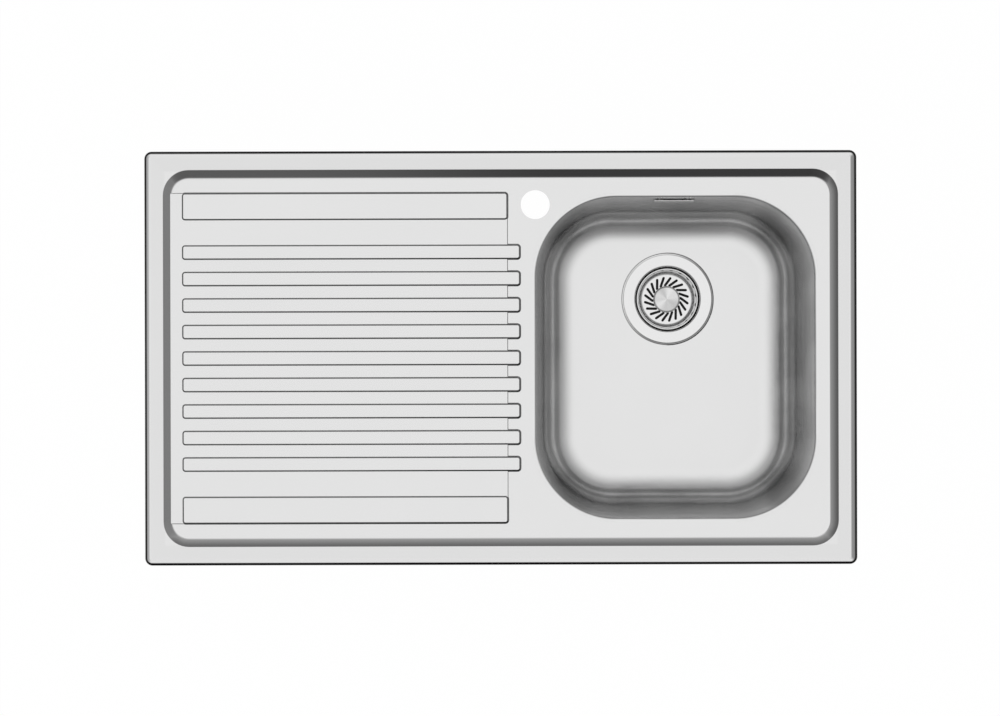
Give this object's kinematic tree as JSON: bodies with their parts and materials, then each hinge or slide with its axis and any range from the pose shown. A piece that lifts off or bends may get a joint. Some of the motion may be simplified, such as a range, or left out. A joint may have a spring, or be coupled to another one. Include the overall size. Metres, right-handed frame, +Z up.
{
  "type": "kitchen sink with drainboard",
  "caption": "Inset steel kitchen sink: one bowl on the right, ribbed drainer on the left, tap hole, rear overflow, basket strainer waste and swinging screw clips under the rim.",
  "frame": {"origin": "centre of the rim outline, on the worktop's surface, where the rim gasket's underside rests", "axes": "+X from the drainer to the bowl, +Y to the rear with the tap hole and overflow, +Z up"},
  "size_m": [0.86, 0.5, 0.251],
  "materials": {
    "deck_steel": "satin pressed stainless steel",
    "bowl_steel": "satin drawn stainless steel",
    "polished_steel": "polished stainless steel",
    "zinc_steel": "zinc plated steel",
    "sound_pad": "matt bitumen sheet",
    "seal_rubber": "matt rubber",
    "gasket_foam": "closed-cell foam",
    "white_plastic": "moulded polypropylene",
    "hose_plastic": "blown flexible plastic",
    "nut_brass": "turned brass"
  },
  "bodies": {
    "root": {"deck_sheet": "deck_steel", "bowl_shell": "bowl_steel", "rim_gasket": "gasket_foam", "rail_rear": "zinc_steel", "rail_front": "zinc_steel", "rail_left": "zinc_steel", "rail_right": "zinc_steel", "clip_screws": "zinc_steel", "bowl_pad": "sound_pad", "drainer_pad": "sound_pad", "flange_seal": "seal_rubber", "lower_seal": "seal_rubber", "strainer_cup": "polished_steel", "waste_body": "white_plastic", "waste_screw": "polished_steel", "waste_nut": "nut_brass", "overflow_cover": "polished_steel", "overflow_seal": "seal_rubber", "overflow_body": "white_plastic", "overflow_screws": "polished_steel", "overflow_hose": "hose_plastic", "hose_nut_upper": "white_plastic", "hose_nut_lower": "white_plastic", "earth_tag": "zinc_steel", "earth_screw": "zinc_steel"},
    "stopper": {"basket_stem": "polished_steel", "stopper_seal": "seal_rubber", "stem_clip": "polished_steel"},
    "basket": {"basket_cup": "polished_steel", "basket_knob": "polished_steel"},
    "carrier_1": {"carrier_1": "zinc_steel"},
    "wing_nut_1": {"wing_nut_1": "zinc_steel"},
    "claw_1": {"claw_1": "zinc_steel"},
    "carrier_2": {"carrier_2": "zinc_steel"},
    "wing_nut_2": {"wing_nut_2": "zinc_steel"},
    "claw_2": {"claw_2": "zinc_steel"},
    "carrier_3": {"carrier_3": "zinc_steel"},
    "wing_nut_3": {"wing_nut_3": "zinc_steel"},
    "claw_3": {"claw_3": "zinc_steel"},
    "carrier_4": {"carrier_4": "zinc_steel"},
    "wing_nut_4": {"wing_nut_4": "zinc_steel"},
    "claw_4": {"claw_4": "zinc_steel"},
    "carrier_5": {"carrier_5": "zinc_steel"},
    "wing_nut_5": {"wing_nut_5": "zinc_steel"},
    "claw_5": {"claw_5": "zinc_steel"},
    "carrier_6": {"carrier_6": "zinc_steel"},
    "wing_nut_6": {"wing_nut_6": "zinc_steel"},
    "claw_6": {"claw_6": "zinc_steel"},
    "carrier_7": {"carrier_7": "zinc_steel"},
    "wing_nut_7": {"wing_nut_7": "zinc_steel"},
    "claw_7": {"claw_7": "zinc_steel"},
    "carrier_8": {"carrier_8": "zinc_steel"},
    "wing_nut_8": {"wing_nut_8": "zinc_steel"},
    "claw_8": {"claw_8": "zinc_steel"}
  },
  "joints": [
    {"name": "basket_lift", "type": "slide", "parent": "root", "child": "stopper", "axis": [0, 0, 1], "range_m": [0, 0.22]},
    {"name": "basket_turn", "type": "hinge", "parent": "stopper", "child": "basket", "pos_m": [0.211, 0.07385, -0.185], "axis": [0, 0, 1], "continuous": true},
    {"name": "clip_1_tighten", "type": "slide", "parent": "root", "child": "carrier_1", "axis": [0, 0, 1], "range_m": [0, 0.015]},
    {"name": "clip_1_turn", "type": "hinge", "parent": "carrier_1", "child": "wing_nut_1", "pos_m": [-0.31, 0.212, -0.053], "axis": [0, 0, 1], "range_deg": [0, 5400]},
    {"name": "clip_1_swing", "type": "hinge", "parent": "carrier_1", "child": "claw_1", "pos_m": [-0.31, 0.212, -0.053], "axis": [0, 0, 1], "range_deg": [0, 90]},
    {"name": "clip_2_tighten", "type": "slide", "parent": "root", "child": "carrier_2", "axis": [0, 0, 1], "range_m": [0, 0.015]},
    {"name": "clip_2_turn", "type": "hinge", "parent": "carrier_2", "child": "wing_nut_2", "pos_m": [-0.02, 0.212, -0.053], "axis": [0, 0, 1], "range_deg": [0, 5400]},
    {"name": "clip_2_swing", "type": "hinge", "parent": "carrier_2", "child": "claw_2", "pos_m": [-0.02, 0.212, -0.053], "axis": [0, 0, 1], "range_deg": [0, 90]},
    {"name": "clip_3_tighten", "type": "slide", "parent": "root", "child": "carrier_3", "axis": [0, 0, 1], "range_m": [0, 0.015]},
    {"name": "clip_3_turn", "type": "hinge", "parent": "carrier_3", "child": "wing_nut_3", "pos_m": [0.31, 0.212, -0.053], "axis": [0, 0, 1], "range_deg": [0, 5400]},
    {"name": "clip_3_swing", "type": "hinge", "parent": "carrier_3", "child": "claw_3", "pos_m": [0.31, 0.212, -0.053], "axis": [0, 0, 1], "range_deg": [0, 90]},
    {"name": "clip_4_tighten", "type": "slide", "parent": "root", "child": "carrier_4", "axis": [0, 0, 1], "range_m": [0, 0.015]},
    {"name": "clip_4_turn", "type": "hinge", "parent": "carrier_4", "child": "wing_nut_4", "pos_m": [-0.31, -0.212, -0.053], "axis": [0, 0, 1], "range_deg": [0, 5400]},
    {"name": "clip_4_swing", "type": "hinge", "parent": "carrier_4", "child": "claw_4", "pos_m": [-0.31, -0.212, -0.053], "axis": [0, 0, 1], "range_deg": [0, 90]},
    {"name": "clip_5_tighten", "type": "slide", "parent": "root", "child": "carrier_5", "axis": [0, 0, 1], "range_m": [0, 0.015]},
    {"name": "clip_5_turn", "type": "hinge", "parent": "carrier_5", "child": "wing_nut_5", "pos_m": [-0.02, -0.212, -0.053], "axis": [0, 0, 1], "range_deg": [0, 5400]},
    {"name": "clip_5_swing", "type": "hinge", "parent": "carrier_5", "child": "claw_5", "pos_m": [-0.02, -0.212, -0.053], "axis": [0, 0, 1], "range_deg": [0, 90]},
    {"name": "clip_6_tighten", "type": "slide", "parent": "root", "child": "carrier_6", "axis": [0, 0, 1], "range_m": [0, 0.015]},
    {"name": "clip_6_turn", "type": "hinge", "parent": "carrier_6", "child": "wing_nut_6", "pos_m": [0.31, -0.212, -0.053], "axis": [0, 0, 1], "range_deg": [0, 5400]},
    {"name": "clip_6_swing", "type": "hinge", "parent": "carrier_6", "child": "claw_6", "pos_m": [0.31, -0.212, -0.053], "axis": [0, 0, 1], "range_deg": [0, 90]},
    {"name": "clip_7_tighten", "type": "slide", "parent": "root", "child": "carrier_7", "axis": [0, 0, 1], "range_m": [0, 0.015]},
    {"name": "clip_7_turn", "type": "hinge", "parent": "carrier_7", "child": "wing_nut_7", "pos_m": [-0.392, 0, -0.053], "axis": [0, 0, 1], "range_deg": [0, 5400]},
    {"name": "clip_7_swing", "type": "hinge", "parent": "carrier_7", "child": "claw_7", "pos_m": [-0.392, 0, -0.053], "axis": [0, 0, 1], "range_deg": [0, 90]},
    {"name": "clip_8_tighten", "type": "slide", "parent": "root", "child": "carrier_8", "axis": [0, 0, 1], "range_m": [0, 0.015]},
    {"name": "clip_8_turn", "type": "hinge", "parent": "carrier_8", "child": "wing_nut_8", "pos_m": [0.392, 0, -0.053], "axis": [0, 0, 1], "range_deg": [0, 5400]},
    {"name": "clip_8_swing", "type": "hinge", "parent": "carrier_8", "child": "claw_8", "pos_m": [0.392, 0, -0.053], "axis": [0, 0, 1], "range_deg": [0, 90]}
  ],
  "couplings": [
    {"joint": "clip_1_turn", "follows": "clip_1_tighten", "rad_per_m": 6283.2},
    {"joint": "clip_2_turn", "follows": "clip_2_tighten", "rad_per_m": 6283.2},
    {"joint": "clip_3_turn", "follows": "clip_3_tighten", "rad_per_m": 6283.2},
    {"joint": "clip_4_turn", "follows": "clip_4_tighten", "rad_per_m": 6283.2},
    {"joint": "clip_5_turn", "follows": "clip_5_tighten", "rad_per_m": 6283.2},
    {"joint": "clip_6_turn", "follows": "clip_6_tighten", "rad_per_m": 6283.2},
    {"joint": "clip_7_turn", "follows": "clip_7_tighten", "rad_per_m": 6283.2},
    {"joint": "clip_8_turn", "follows": "clip_8_tighten", "rad_per_m": 6283.2}
  ]
}
